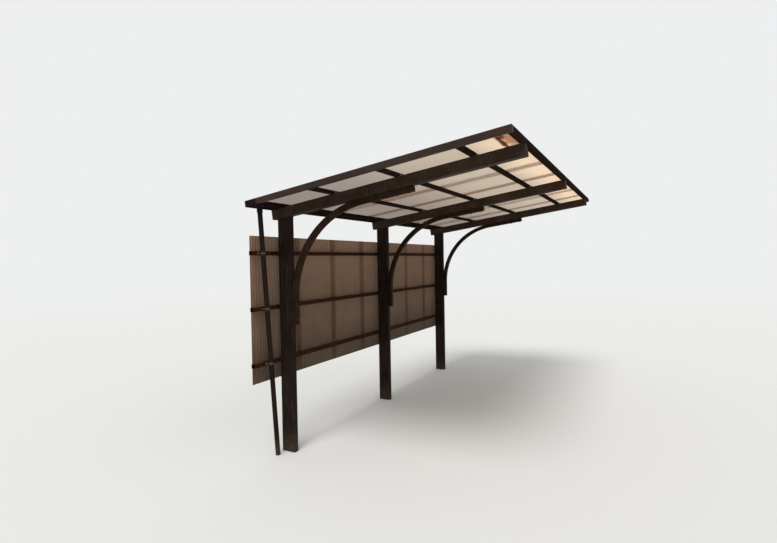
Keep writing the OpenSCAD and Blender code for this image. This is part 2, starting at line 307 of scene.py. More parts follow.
def effect(name, **inputs):
    """A shader node group with a vector and named inputs; an input's first value tells its kind."""
    tree = bpy.data.node_groups.new(name, "ShaderNodeTree")
    tree.interface.new_socket("Vector", in_out="INPUT", socket_type="NodeSocketVector")
    for label, value in inputs.items():
        kind = "Float" if isinstance(value, float) else "Vector" if len(value) == 3 else "Color"
        socket = tree.interface.new_socket(label, in_out="INPUT", socket_type="NodeSocket" + kind)
        socket.default_value = value
    return tree, add(tree, "NodeGroupInput").outputs


def give(tree, **outputs):
    """Ends an effect with its named outputs."""
    for label in outputs:
        kind = "Color" if label == "Color" else "Float"
        tree.interface.new_socket(label, in_out="OUTPUT", socket_type="NodeSocket" + kind)
    add(tree, "NodeGroupOutput", outputs)
    return tree


def swayed(tree, level, cloud, amount):
    """A level that a cloud moves up and down by half the amount."""
    return plus(tree, level, maths(tree, "SUBTRACT", cloud, 0.5), amount)


def make_patchy():
    """Slow changes of tone, with a finer cloud laid over a coarse one."""
    tree, given = effect("Patchy tone", Size=0.3, Contrast=0.5, Shift=0.0)
    place = vector_maths(tree, "ADD", given["Vector"], given["Shift"])[0]
    scale = scale_of(tree, given["Size"])
    coarse = noise(tree, place, scale, detail=2.0, roughness=0.5)
    finer, coarse_share, fine_share = 5.3, 0.65, 0.35
    fine = noise(tree, place, times(tree, scale, finer), detail=4.0, roughness=0.6)
    both = maths(tree, "MULTIPLY_ADD", coarse, coarse_share, times(tree, fine, fine_share))
    half_range = minus(tree, 0.55, given["Contrast"], 0.5)
    low = maths(tree, "SUBTRACT", 0.5, half_range)
    high = maths(tree, "ADD", 0.5, half_range)
    return give(tree, Tone=spread(tree, both, low, high))


def make_marks():
    """Long thin marks that follow the vector's own Z, such as rain runs or an extrusion's lines."""
    tree, given = effect("Long marks", Width=0.01, Length=0.4, Cover=0.4, Softness=0.15, Shift=0.0)
    across, along = scale_of(tree, given["Width"]), scale_of(tree, given["Length"])
    scale = add(tree, "ShaderNodeCombineXYZ", {"X": across, "Y": across, "Z": along}).outputs[0]
    place = vector_maths(tree, "MULTIPLY", given["Vector"], scale)[0]
    place = vector_maths(tree, "ADD", place, given["Shift"])[0]
    marks = noise(tree, place, scale=1.0, detail=3.0, roughness=0.55)
    edge = minus(tree, 0.72, given["Cover"], 0.42)
    upper = maths(tree, "ADD", edge, given["Softness"])
    return give(tree, Mask=spread(tree, marks, edge, upper))


def make_worn_edge():
    """Edges where the finish has rubbed thin, broken up by a cloud."""
    tree, given = effect("Worn edge", Radius=0.002, Size=0.05, Cover=0.5)
    rounded = add(tree, "ShaderNodeBevel", {"Radius": given["Radius"]}, samples=4).outputs["Normal"]
    flat = add(tree, "ShaderNodeNewGeometry").outputs["Normal"]
    turn = vector_maths(tree, "DOT_PRODUCT", rounded, flat)["Value"]
    barely_bent, full_corner = 0.985, 0.82
    edge = spread(tree, turn, barely_bent, full_corner)
    cloud = noise(tree, given["Vector"], scale_of(tree, given["Size"]), detail=4.0, roughness=0.65)
    low = minus(tree, 0.75, given["Cover"], 0.5)
    softness = 0.12
    broken = spread(tree, cloud, low, maths(tree, "ADD", low, softness))
    return give(tree, Mask=times(tree, edge, broken))


def make_dust():
    """Dust that settles on what faces upwards, thicker in some places."""
    tree, given = effect("Settled dust", Size=0.12, Amount=0.6)
    normal = add(tree, "ShaderNodeNewGeometry").outputs["Normal"]
    steep, flat = 0.25, 0.95
    lies = spread(tree, axis(tree, normal, "Z"), steep, flat)
    cloud = noise(tree, given["Vector"], scale_of(tree, given["Size"]), detail=5.0, roughness=0.65)
    thick = spread(tree, cloud, 0.25, 0.75, to_low=0.35)
    mask = maths(tree, "MULTIPLY", times(tree, lies, thick), given["Amount"], clamp=True)
    return give(tree, Mask=mask)


def make_rust():
    """Rust that spreads from spots, in two shades, with a crust that stands up a little."""
    tree, given = effect("Rust bloom",
                         Size=0.05, Cover=0.4, Fresh=linear("#8a4a22"), Old=linear("#43261a"))
    scale = scale_of(tree, given["Size"])
    cloud = noise(tree, given["Vector"], scale, detail=6.0, roughness=0.62, distortion=0.4)
    edge = minus(tree, 0.8, given["Cover"], 0.6)
    softness, finer, finest = 0.08, 3.7, 14.0
    mask = spread(tree, cloud, edge, maths(tree, "ADD", edge, softness))
    shade = noise(tree, given["Vector"], times(tree, scale, finer), detail=5.0, roughness=0.7)
    colour = blend(tree, spread(tree, shade, 0.35, 0.65), given["Old"], given["Fresh"])
    grit = noise(tree, given["Vector"], times(tree, scale, finest), detail=3.0, roughness=0.7)
    return give(tree, Mask=mask, Color=colour, Height=times(tree, grit, mask))


def make_splash():
    """Dirt that rain throws up, which thins out with height."""
    tree, given = effect("Rain splash", Reach=0.35, Amount=0.7)
    cloud = noise(tree, given["Vector"], scale=26.0, detail=5.0, roughness=0.68)
    level = maths(tree, "DIVIDE", axis(tree, given["Vector"], "Z"), given["Reach"])
    clean, full = 1.0, 0.05
    mask = spread(tree, swayed(tree, level, cloud, 1.1), clean, full)
    return give(tree, Mask=times(tree, mask, given["Amount"]))


def make_grain():
    """The fine unevenness of a sprayed or moulded surface."""
    tree, given = effect("Coat grain", Size=0.002)
    scale = scale_of(tree, given["Size"])
    peel = noise(tree, given["Vector"], scale, detail=2.0, roughness=0.5)
    coarser, wave_height = 0.12, 2.5
    wave = noise(tree, given["Vector"], times(tree, scale, coarser), detail=2.0, roughness=0.5)
    return give(tree, Height=maths(tree, "MULTIPLY_ADD", wave, wave_height, peel))


def make_ragged_patch():
    """A patch round a centre, ragged at its rim and finely speckled."""
    tree, given = effect("Ragged patch",
                         Centre=(0.0, 0.0, 0.0), Reach=(1.0, 1.0, 1.0), Amount=0.85)
    away = vector_maths(tree, "SUBTRACT", given["Vector"], given["Centre"])[0]
    away = vector_maths(tree, "DIVIDE", away, given["Reach"])[0]
    far = vector_maths(tree, "LENGTH", away)["Value"]
    cloud = noise(tree, given["Vector"], scale=16.0, detail=6.0, roughness=0.7)
    speckle = noise(tree, given["Vector"], scale=90.0, detail=4.0, roughness=0.7)
    specks = spread(tree, speckle, 0.3, 0.6, to_low=0.7)
    clean, full = 1.25, 0.35
    mask = times(tree, spread(tree, swayed(tree, far, cloud, 1.6), clean, full), specks)
    return give(tree, Mask=times(tree, mask, given["Amount"]))


# Materials

PATCHY = make_patchy()
MARKS = make_marks()
WORN = make_worn_edge()
DUST = make_dust()
RUST = make_rust()
SPLASH = make_splash()
GRAIN = make_grain()
CORNER_PATCH = make_ragged_patch()

DUST_COLOUR = "#8f8476"
SPLASH_COLOUR = "#594e42"

# Turns that bring a piece's own length to the vector's Z
UPRIGHT = (0, 0, 0)
UP_THE_SLOPE = (0, ROOF_SLOPE - math.pi / 2, 0)
ALONG_THE_ROW = (math.pi / 2, 0, 0)

# Places up the slope where the panels' painted shade ends, where they are fully painted as lit and
# where a warm painted highlight is at its brightest
PANEL_SHADED = 0.7
PANEL_LIT = 2.1
PANEL_SUNLIT = 2.42

# Marks in the near front corner of the roof: a wide pale one that is a painted warm reflection, a
# dark line and a clump
CORNER_MARKS = (
    ("#b98f6e", {"Centre": (2.052, -1.9, 2.506), "Reach": (0.072, 0.3, 0.3), "Amount": 0.75}),
    ("#6f3d1c", {"Centre": (1.98, -1.88, 2.498), "Reach": (0.02, 0.26, 0.3), "Amount": 0.95}),
    ("#7d4420", {"Centre": (2.004, -2.01, 2.5), "Reach": (0.03, 0.06, 0.3), "Amount": 0.8}),
)


def start_material(name):
    material = bpy.data.materials.new(name)
    tree = empty_nodes(material)
    return material, tree, add(tree, "ShaderNodeTexCoord").outputs["Object"]


def end_material(tree, surface):
    add(tree, "ShaderNodeOutputMaterial", {"Surface": surface})


def turned(tree, place, turn, shift=(0, 0, 0)):
    """Pattern coordinates whose Z runs along a piece."""
    return add(tree, "ShaderNodeMapping", {"Vector": place, "Rotation": turn, "Location": shift},
               vector_type="POINT").outputs[0]


def pattern(tree, group, vector, **values):
    """A shared effect laid on a vector, with its own values; gives its outputs."""
    return add(tree, "ShaderNodeGroup", {"Vector": vector, **values}, node_tree=group).outputs


def mask_of(tree, group, vector, **values):
    return pattern(tree, group, vector, **values)["Mask"]


def tint(tree, colour, mask, shade, share=1):
    """Lays a shade over a colour where the mask is, at most to the given share."""
    if share != 1:
        mask = times(tree, mask, share)
    return blend(tree, mask, colour, linear(shade))


def patchy_colour(tree, place, base, light, **values):
    """A slow change of tone and the colour that goes with it, from the base to a lighter one."""
    tone = pattern(tree, PATCHY, place, **values)["Tone"]
    return tone, blend(tree, tone, linear(base), linear(light))


def bumped(tree, height, distance, strength):
    return add(tree, "ShaderNodeBump", {
        "Height": height, "Distance": distance, "Strength": strength,
    }).outputs["Normal"]


def grained(tree, place, size, distance, strength=0.5):
    """The normal of a surface with a fine grain."""
    return bumped(tree, pattern(tree, GRAIN, place, Size=size)["Height"], distance, strength)


def surfaced(material, colour, rough, normal, specular=None, **others):
    """The material with a plain surface; without a specular level the shader keeps its own."""
    tree = material.node_tree
    shader = add(tree, "ShaderNodeBsdfPrincipled", {
        "Base Color": colour, "Roughness": rough, "Normal": normal, **others,
    })
    if specular is not None:
        shader.inputs["Specular IOR Level"].default_value = specular
    end_material(tree, shader.outputs[0])
    return material


def painted_steel(name, base, light, turn, splash=0.0, rust=0.12):
    """Dark baked paint: patchy tone, rain runs, rubbed edges, dust on top and a little rust."""
    material, tree, place = start_material(name)
    along = turned(tree, place, turn)
    tone, colour = patchy_colour(tree, place, base, light, Size=0.22, Contrast=0.75)
    runs = mask_of(tree, MARKS, place, Width=0.009, Length=0.22, Cover=0.42)
    colour = tint(tree, colour, runs, "#4f443c", share=0.42)
    rubs = mask_of(tree, MARKS, along,
                   Width=0.0015, Length=0.12, Cover=0.12, Softness=0.04, Shift=9.0)
    colour = tint(tree, colour, rubs, "#6c5a4d", share=0.4)
    worn = mask_of(tree, WORN, place, Radius=0.0025, Size=0.03, Cover=0.5)
    colour = tint(tree, colour, worn, "#5f4d40", share=0.6)
    bloom = pattern(tree, RUST, place, Size=0.035, Cover=rust)
    colour = blend(tree, bloom["Mask"], colour, bloom["Color"])
    dust = mask_of(tree, DUST, place, Size=0.1, Amount=0.55)
    colour = tint(tree, colour, dust, DUST_COLOUR)
    rough = plus(tree, between(tree, tone, 0.46, 0.6), runs, 0.16)
    rough = minus(tree, rough, rubs, 0.12)
    rough = at_least(tree, rough, bloom["Mask"], 0.85)
    rough = at_least(tree, rough, dust, 0.9)
    if splash:
        mud = mask_of(tree, SPLASH, place, Reach=splash, Amount=0.34)
        colour = tint(tree, colour, mud, SPLASH_COLOUR)
        rough = at_least(tree, rough, mud, 0.95)
    grain = pattern(tree, GRAIN, place, Size=0.002)["Height"]
    grain_share = 0.12
    height = maths(tree, "ADD", times(tree, grain, grain_share), bloom["Height"])
    normal = bumped(tree, height, distance=0.0006, strength=0.6)
    return surfaced(material, colour, rough, normal, specular=0.03)


def extruded_metal(name, base, light, turn, shine=0.0):
    """Bronze coated aluminium, matt or faintly shiny: fine lines, worn edges, dust and dirt."""
    material, tree, place = start_material(name)
    along = turned(tree, place, turn)
    _, colour = patchy_colour(tree, place, base, light, Size=0.5, Contrast=0.45, Shift=3.1)
    lines = mask_of(tree, MARKS, along,
                    Width=0.0016, Length=1.2, Cover=0.55, Softness=0.25)
    colour = tint(tree, colour, lines, "#4b3f38", share=0.2)
    dirt = mask_of(tree, MARKS, along,
                   Width=0.03, Length=0.16, Cover=0.4, Softness=0.3, Shift=7.0)
    colour = tint(tree, colour, dirt, "#1f1815", share=0.4)
    worn = mask_of(tree, WORN, place, Radius=0.0018, Size=0.04, Cover=0.55)
    colour = tint(tree, colour, worn, "#6a5a4e", share=0.55)
    dust = mask_of(tree, DUST, place, Size=0.09, Amount=0.7)
    colour = tint(tree, colour, dust, DUST_COLOUR)
    rough = plus(tree, between(tree, lines, 0.5, 0.62), dirt, 0.16)
    rough = at_least(tree, rough, dust, 0.9)
    normal = bumped(tree, lines, distance=0.0002, strength=0.5)
    return surfaced(material, colour, rough, normal, specular=shine)


def rusted_rail():
    """Square tube whose brown paint has rusted through almost everywhere."""
    material, tree, place = start_material("rail rust")
    along = turned(tree, place, ALONG_THE_ROW)
    tone, colour = patchy_colour(tree, place, "#1f110a", "#2b180e", Size=0.12, Contrast=0.6)
    bloom = pattern(tree, RUST, place,
                    Size=0.045, Cover=0.6, Fresh=linear("#47240f"), Old=linear("#29140b"))
    colour = blend(tree, times(tree, bloom["Mask"], 0.85), colour, bloom["Color"])
    runs = mask_of(tree, MARKS, place, Width=0.012, Length=0.05, Cover=0.45)
    colour = tint(tree, colour, runs, "#22140f", share=0.5)
    streak = mask_of(tree, MARKS, along, Width=0.01, Length=0.3, Cover=0.3)
    colour = tint(tree, colour, streak, "#754526", share=0.3)
    dust = mask_of(tree, DUST, place, Size=0.08, Amount=0.3)
    colour = tint(tree, colour, dust, "#6b5440")
    rough = at_least(tree, between(tree, tone, 0.6, 0.72), bloom["Mask"], 0.9)
    normal = bumped(tree, bloom["Height"], distance=0.0012, strength=0.8)
    return surfaced(material, colour, rough, normal, specular=0.04)


def frosted_panel():
    """Milky roof panel that lets light through, with painted light towards the front and painted
    shade beside its joints.
    """
    material, tree, place = start_material("frosted roof panel")
    along = turned(tree, place, UP_THE_SLOPE)
    tone = pattern(tree, PATCHY, place, Size=0.6, Contrast=0.5)["Tone"]
    # Painted light and shade up the slope: darker at the rear, lighter and then warm towards the
    # front
    level = plus(tree, axis(tree, along, "Z"), tone, 0.15)
    lit_share = spread(tree, level, PANEL_SHADED, PANEL_LIT)
    clear = blend(tree, lit_share, linear("#bab3b0"), linear("#dad2c7"))
    clear = tint(tree, clear, spread(tree, level, PANEL_LIT, PANEL_SUNLIT), "#f5e6d5")
    clear = tint(tree, clear, tone, "#cbc2b9", share=0.25)
    runs = mask_of(tree, MARKS, along, Width=0.03, Length=0.7, Cover=0.45, Softness=0.3)
    clear = tint(tree, clear, runs, "#b9a893", share=0.3)
    dust = mask_of(tree, DUST, place, Size=0.07, Amount=0.35)
    clear = tint(tree, clear, dust, "#a89a86")

    # Painted shade beside the bars, standing for the caps' shade spread through the panel, is
    # fainter on the upper face and under the caps
    geometry = add(tree, "ShaderNodeNewGeometry").outputs
    upwards = maths(tree, "GREATER_THAN", axis(tree, geometry["Normal"], "Z"), 0.5)
    on_top = times(tree, upwards, maths(tree, "SUBTRACT", 1.0, geometry["Backfacing"]))
    row = maths(tree, "ADD", axis(tree, place, "Y"), ROOF_END)
    joint = maths(tree, "PINGPONG", row, ROOF_END / len(PANELS))
    cloud = noise(tree, place, scale=12.0, detail=4.0, roughness=0.6)
    waver, joint_shade_end, joint_shade_full = 0.05, 0.13, 0.06
    beside = spread(tree, plus(tree, joint, cloud, waver), joint_shade_end, joint_shade_full)
    cap_edge, cap_blur = BAR_CAP / 2, 0.004
    under_cap = spread(tree, joint, cap_edge + cap_blur, cap_edge - cap_blur)
    joint_shade_share = times(tree, minus(tree, 0.6, on_top, 0.35), minus(tree, 1.0, under_cap, 0.75))
    clear = tint(tree, clear, times(tree, beside, joint_shade_share), "#ae865b")
    for shade, values in CORNER_MARKS:
        clear = tint(tree, clear, mask_of(tree, CORNER_PATCH, place, **values), shade)

    normal = grained(tree, place, size=0.003, distance=0.0002)
    face = add(tree, "ShaderNodeBsdfPrincipled", {
        "Base Color": clear, "Roughness": between(tree, runs, 0.34, 0.5), "Normal": normal,
    })
    through = add(tree, "ShaderNodeBsdfTranslucent", {"Color": clear, "Normal": normal})
    share = minus(tree, minus(tree, 0.9, on_top, 0.4), under_cap, 0.85, clamp=True)
    end_material(tree, mix_shaders(tree, share, face, through))
    return material


def smoked_sheet():
    """Brown see-through sheet with painted light at the top and painted shade lower down, streaks,
    darker laps and a dirty foot.
    """
    material, tree, place = start_material("smoked screen sheet")
    _, colour = patchy_colour(tree, place, "#694e37", "#7c5f43", Size=0.5, Contrast=0.5)
    level = axis(tree, place, "Z")
    # Painted light over the top of the sheet and painted shade lower down, for the light and shade
    # that show through it
    lit_start, lit_full, shade_start, shade_full = 1.2, 1.9, 1.15, 0.85
    upper = spread(tree, level, lit_start, lit_full, to_high=0.85)
    lower = spread(tree, level, shade_start, shade_full, to_high=0.75)
    colour = tint(tree, colour, upper, "#957258")
    colour = tint(tree, colour, lower, "#4d3a29")
    runs = mask_of(tree, MARKS, place, Width=0.02, Length=0.9, Cover=0.5, Softness=0.3)
    colour = tint(tree, colour, runs, "#80684f", share=0.3)
    fine = mask_of(tree, MARKS, place, Width=0.006, Length=0.35, Cover=0.35, Shift=5.0)
    colour = tint(tree, colour, fine, "#4d3a2b", share=0.2)

    # Laps come once per sheet, but not at the two ends of the screen
    half_lap, pitch = LAP_WAVES * WAVE_PITCH / 2, COVER_WAVES * WAVE_PITCH
    row = maths(tree, "SUBTRACT", axis(tree, place, "Y"), SCREEN_START + half_lap)
    off_lap = maths(tree, "PINGPONG", row, pitch / 2)
    past_lap, within_lap = 0.022, 0.004
    in_lap = spread(tree, off_lap, half_lap + past_lap, half_lap - within_lap)
    in_lap = times(tree, in_lap, maths(tree, "GREATER_THAN", row, pitch / 2))
    in_lap = times(tree, in_lap, maths(tree, "LESS_THAN", row, (len(SHEETS) - 0.5) * pitch))
    colour = tint(tree, colour, in_lap, "#47281a", share=0.35)

    above_foot = turned(tree, place, UPRIGHT, (0, 0, -SHEET_BOTTOM))
    mud = mask_of(tree, SPLASH, above_foot, Reach=0.12, Amount=0.45)
    colour = tint(tree, colour, mud, SPLASH_COLOUR)
    solid = plus(tree, 0.85, runs, 0.06)
    solid = maths(tree, "ADD", solid, times(tree, mud, 0.1), clamp=True)
    rough = between(tree, runs, 0.46, 0.6)
    normal = grained(tree, place, size=0.004, distance=0.0002)
    return surfaced(material, colour, rough, normal, specular=0.12, Alpha=solid)


def weathered_pipe():
    """Dark brown plastic pipe with faded runs and dirt near its foot."""
    material, tree, place = start_material("downspout plastic")
    _, colour = patchy_colour(tree, place, "#1a130e", "#261c15",
                              Size=0.3, Contrast=0.5, Shift=1.7)
    runs = mask_of(tree, MARKS, place, Width=0.01, Length=0.35, Cover=0.45, Softness=0.2)
    colour = tint(tree, colour, runs, "#3a2e25", share=0.3)
    mud = mask_of(tree, SPLASH, place, Reach=0.2, Amount=0.35)
    colour = tint(tree, colour, mud, SPLASH_COLOUR)
    rough = at_least(tree, between(tree, runs, 0.5, 0.64), mud, 0.9)
    normal = grained(tree, place, size=0.003, distance=0.0003)
    return surfaced(material, colour, rough, normal, specular=0.04)


def dulled_zinc(name, base, light, rust):
    """Zinc coated fittings, dulled and starting to rust."""
    material, tree, place = start_material(name)
    tone, colour = patchy_colour(tree, place, base, light, Size=0.03, Contrast=0.7)
    bloom = pattern(tree, RUST, place, Size=0.012, Cover=rust)
    colour = blend(tree, bloom["Mask"], colour, bloom["Color"])
    worn = mask_of(tree, WORN, place, Radius=0.0008, Size=0.01, Cover=0.6)
    colour = tint(tree, colour, worn, "#a9a196", share=0.5)
    rough = at_least(tree, between(tree, tone, 0.38, 0.58), bloom["Mask"], 0.88)
    metal = minus(tree, 0.6, bloom["Mask"], 0.55)
    normal = bumped(tree, bloom["Height"], distance=0.0004, strength=0.7)
    return surfaced(material, colour, rough, normal, Metallic=metal)


def aged_rubber():
    """Black rubber of washers and glazing strips, greyed by the sun."""
    material, tree, place = start_material("aged rubber")
    tone, colour = patchy_colour(tree, place, "#1d1b1a", "#3a3632", Size=0.05, Contrast=0.6)
    dust = mask_of(tree, DUST, place, Size=0.03, Amount=0.5)
    colour = tint(tree, colour, dust, DUST_COLOUR)
    normal = grained(tree, place, size=0.001, distance=0.0002, strength=0.6)
    return surfaced(material, colour, between(tree, tone, 0.62, 0.82), normal)


def aged_sealant():
    """Grey sealant, dirty where water stands."""
    material, tree, place = start_material("gutter sealant")
    tone, colour = patchy_colour(tree, place, "#5d5850", "#7b766c",
                                 Size=0.04, Contrast=0.6, Shift=2.2)
    dust = mask_of(tree, DUST, place, Size=0.03, Amount=0.6)
    colour = tint(tree, colour, dust, "#5e5243")
    normal = grained(tree, place, size=0.0015, distance=0.0003, strength=0.6)
    return surfaced(material, colour, between(tree, tone, 0.5, 0.7), normal)


def dress_node(name, material):
    """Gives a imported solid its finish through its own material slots."""
    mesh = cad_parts[name].data
    if not mesh.materials:
        mesh.materials.append(material)
    for place in range(len(mesh.materials)):
        mesh.materials[place] = material


def dress_solids():
    finishes = (
        (POSTS, painted_steel("post paint", "#1f1714", "#291f1b", UPRIGHT, splash=0.22, rust=0.18)),
        (BEAMS, painted_steel("beam paint", "#30251f", "#3f332b", UP_THE_SLOPE)),
        (BRACES, painted_steel("brace paint", "#22170f", "#2f2118", UPRIGHT)),
        (CAPS, painted_steel("cap plastic", "#1c1615", "#26201e", UPRIGHT, rust=0.0)),
        (SIDE_FRAMES,
         extruded_metal("side frame coat", "#302520", "#3f322c", UP_THE_SLOPE, shine=0.06)),
        # The cross members and the gutter wear darker copies of the side frames' bronze coat, as
        # painted shade; the glazing bars wear a lighter copy, as painted light
        (("front_frame", *PURLINS),
         extruded_metal("cross member coat", "#1f1714", "#2a201c", ALONG_THE_ROW)),
        (("gutter",), extruded_metal("gutter coat", "#191311", "#221a17", ALONG_THE_ROW)),
        (BARS, extruded_metal("glazing bar coat", "#6b5848", "#7c6957", UP_THE_SLOPE, shine=0.05)),
        (PANELS, frosted_panel()),
        (SHEETS, smoked_sheet()),
        (RAILS, rusted_rail()),
        (("downspout", "outlet_socket"), weathered_pipe()),
        (("pipe_clips",), dulled_zinc("clip steel", "#352f2b", "#4a433d", rust=0.5)),
    )
    for names, material in finishes:
        for name in names:
            dress_node(name, material)


# Fasteners, brackets, beads and strips

def new_piece(name, mesh, finish):
    """A finished piece at the origin that rides with the shelter."""
    mesh.materials.clear()
    mesh.materials.append(finish)
    piece = put(name, mesh)
    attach(piece, "root")
    return piece


def turned_solid(bm, outline, sides):
    """Turns an outline of (radius, height) pairs round Z; the first and last radius may be zero."""
    rings = []
    for radius, height in outline:
        if radius == 0:
            rings.append([bm.verts.new((0, 0, height))])
            continue
        angles = [2 * math.pi * i / sides for i in range(sides)]
        round_it = [(radius * math.cos(a), radius * math.sin(a), height) for a in angles]
        rings.append([bm.verts.new(point) for point in round_it])
    for lower, upper in zip(rings, rings[1:]):
        for i in range(sides):
            j = (i + 1) % sides
            turns = ((lower, i), (lower, j), (upper, j), (upper, i))
            unique = list(dict.fromkeys(ring[k % len(ring)] for ring, k in turns))
            if len(unique) > 2:
                bm.faces.new(unique)
    for ring, flip in ((rings[0], True), (rings[-1], False)):
        if len(ring) > 1:
            bm.faces.new(list(reversed(ring)) if flip else ring)


def part_object(name, build):
    """A small part for the placing tree, with smooth faces and sharp corners."""
    bm = bmesh.new()
    build(bm)
    bmesh.ops.recalc_face_normals(bm, faces=bm.faces)
    mesh = bpy.data.meshes.new(name)
    bm.to_mesh(mesh)
    bm.free()
    mesh.shade_smooth()
    mesh.set_sharp_from_angle(angle=math.radians(40))
    return put(name, mesh)


def scaled(radius, height, *shapes):
    """Builds turned solids from outlines in units of a radius and a height."""
    def build(bm):
        for outline, sides in shapes:
            turned_solid(bm, [(across * radius, rise * height) for across, rise in outline], sides)
    return build


def hex_screw(radius):
    """A hexagonal head with its own flange."""
    flange = ((1.5, 0), (1.5, 0.12), (1.05, 0.42))
    head = ((1, 0.3), (1, 1.15), (0.82, 1.3))
    return scaled(radius, radius, (flange, 20), (head, 6))


def cup_bolt(radius):
    """A low domed head with a recess for the key."""
    dome = ((1, 0), (1, 0.08), (0.93, 0.28), (0.74, 0.46), (0.42, 0.56))
    recess = ((0.36, 0.56), (0.34, 0.3), (0, 0.3))
    return scaled(radius, radius, (dome + recess, 20))


def soft_washer(radius, height):
    return scaled(radius, height, (((0.96, 0), (1, 0.4), (0.9, 1)), 20))


def angle_bracket(leg_a, leg_b, width, thickness):
    """A folded bracket: one leg on Z = 0 towards X, the other on X = 0 towards Z."""
    def build(bm):
        bend = 1.2 * thickness
        reach = bend + thickness
        angles = (0, math.pi / 4, math.pi / 2)
        outer = [(reach * (1 - math.cos(a)), reach * (1 - math.sin(a))) for a in angles]
        inner = [(reach - bend * math.cos(a), reach - bend * math.sin(a)) for a in angles]
        outline = [(leg_a, 0), *reversed(outer), (0, leg_b)]
        outline += [(thickness, leg_b), *inner, (leg_a, thickness)]
        near = [bm.verts.new((x, -width / 2, z)) for x, z in outline]
        beyond = [bm.verts.new((x, width / 2, z)) for x, z in outline]
        for i in range(len(outline)):
            j = (i + 1) % len(outline)
            bm.faces.new((near[i], near[j], beyond[j], beyond[i]))
        bm.faces.new(near)
        bm.faces.new(list(reversed(beyond)))
    return build


def tree_with(name, **sockets):
    """A geometry tree with named inputs and a finish, its input values and their identifiers."""
    tree = bpy.data.node_groups.new(name, "GeometryNodeTree")
    for side in ("INPUT", "OUTPUT"):
        tree.interface.new_socket("Geometry", in_out=side, socket_type="NodeSocketGeometry")
    names = {}
    for label, kind in (*sockets.items(), ("Finish", "Material")):
        socket = tree.interface.new_socket(label, in_out="INPUT", socket_type="NodeSocket" + kind)
        names[label] = socket.identifier
    return tree, add(tree, "NodeGroupInput").outputs, names


def end_tree(tree, geometry, finish):
    real = add(tree, "GeometryNodeRealizeInstances", {"Geometry": geometry})
    dressed = add(tree, "GeometryNodeSetMaterial", {
        "Geometry": real.outputs[0], "Material": finish,
    })
    add(tree, "NodeGroupOutput", {"Geometry": dressed.outputs[0]})


def make_placing_tree():
    """Sets a part on every point, turned to the point's facing and heading, and spun at random."""
    tree, given, names = tree_with("Placed fittings",
                                   Part="Object", Lift="Float", Spin="Float", Seed="Int")
    part = add(tree, "GeometryNodeObjectInfo", {"Object": given["Part"], "As Instance": True})
    facing, heading = (
        add(tree, "GeometryNodeInputNamedAttribute", {"Name": label},
            data_type="FLOAT_VECTOR").outputs["Attribute"]
        for label in ("facing", "heading")
    )
    turn = add(tree, "FunctionNodeAxesToRotation", {
        "Primary Axis": facing, "Secondary Axis": heading,
    }, primary_axis="Z", secondary_axis="X")
    chance = add(tree, "FunctionNodeRandomValue", {2: 0.0, 3: given["Spin"], "Seed": given["Seed"]},
                 data_type="FLOAT")
    twist = add(tree, "FunctionNodeAxisAngleToRotation", {
        "Axis": (0, 0, 1), "Angle": chance.outputs[1],
    })
    both = add(tree, "FunctionNodeRotateRotation", {
        "Rotation": turn.outputs[0], "Rotate By": twist.outputs[0],
    }, rotation_space="LOCAL")
    placed = add(tree, "GeometryNodeInstanceOnPoints", {
        "Points": given["Geometry"], "Instance": part.outputs["Geometry"],
        "Rotation": both.outputs[0],
    })
    lift = add(tree, "ShaderNodeCombineXYZ", {"Z": given["Lift"]})
    raised = add(tree, "GeometryNodeTranslateInstances", {
        "Instances": placed.outputs[0], "Translation": lift.outputs[0], "Local Space": True,
    })
    end_tree(tree, raised.outputs[0], given["Finish"])
    return tree, names


def make_bead_tree():
    """A round bead along every line, with ripples where it was laid by hand."""
    tree, given, names = tree_with("Bead along lines", Radius="Float", Step="Float",
                                   Ripple="Float", Wavelength="Float", Seed="Float")
    line = add(tree, "GeometryNodeMeshToCurve", {"Mesh": given["Geometry"]})
    steps = add(tree, "GeometryNodeResampleCurve", {
        "Curve": line.outputs[0], "Length": given["Step"],
    }, mode="LENGTH")
    ring = add(tree, "GeometryNodeCurvePrimitiveCircle", {
        "Resolution": 8, "Radius": given["Radius"],
    })
    tube = add(tree, "GeometryNodeCurveToMesh", {
        "Curve": steps.outputs[0], "Profile Curve": ring.outputs[0], "Fill Caps": True,
    })
    wave = add(tree, "ShaderNodeTexNoise", {
        "Scale": scale_of(tree, given["Wavelength"]), "W": given["Seed"], "Detail": 1.0,
    }, noise_dimensions="4D")
    depth = times(tree, maths(tree, "SUBTRACT", wave.outputs[0], 0.5), given["Ripple"])
    normal = add(tree, "GeometryNodeInputNormal")
    push = add(tree, "ShaderNodeVectorMath", {
        0: normal.outputs[0], "Scale": depth,
    }, operation="SCALE")
    moved = add(tree, "GeometryNodeSetPosition", {
        "Geometry": tube.outputs[0], "Offset": push.outputs[0],
    })
    end_tree(tree, moved.outputs[0], given["Finish"])
    return tree, names


PLACING = make_placing_tree()
BEAD = make_bead_tree()

# How far a screw's flange presses into its washer
WASHER_SQUEEZE = 0.0001


def grown(name, mesh, growth, values, finish):
    """Runs a geometry tree on a mesh of points or lines and keeps the result as a plain piece."""
    tree, names = growth
    holder = put(name + ".lines", mesh)
    modifier = holder.modifiers.new("growth", "NODES")
    modifier.node_group = tree
    for label, value in {**values, "Finish": finish}.items():
        modifier[names[label]] = value
    bpy.context.view_layer.update()
    ready = holder.evaluated_get(bpy.context.evaluated_depsgraph_get())
    result = bpy.data.meshes.new_from_object(ready)
    holder.modifiers.remove(modifier)
    bpy.data.objects.remove(holder)
    result.name = name
    return new_piece(name, result, finish)


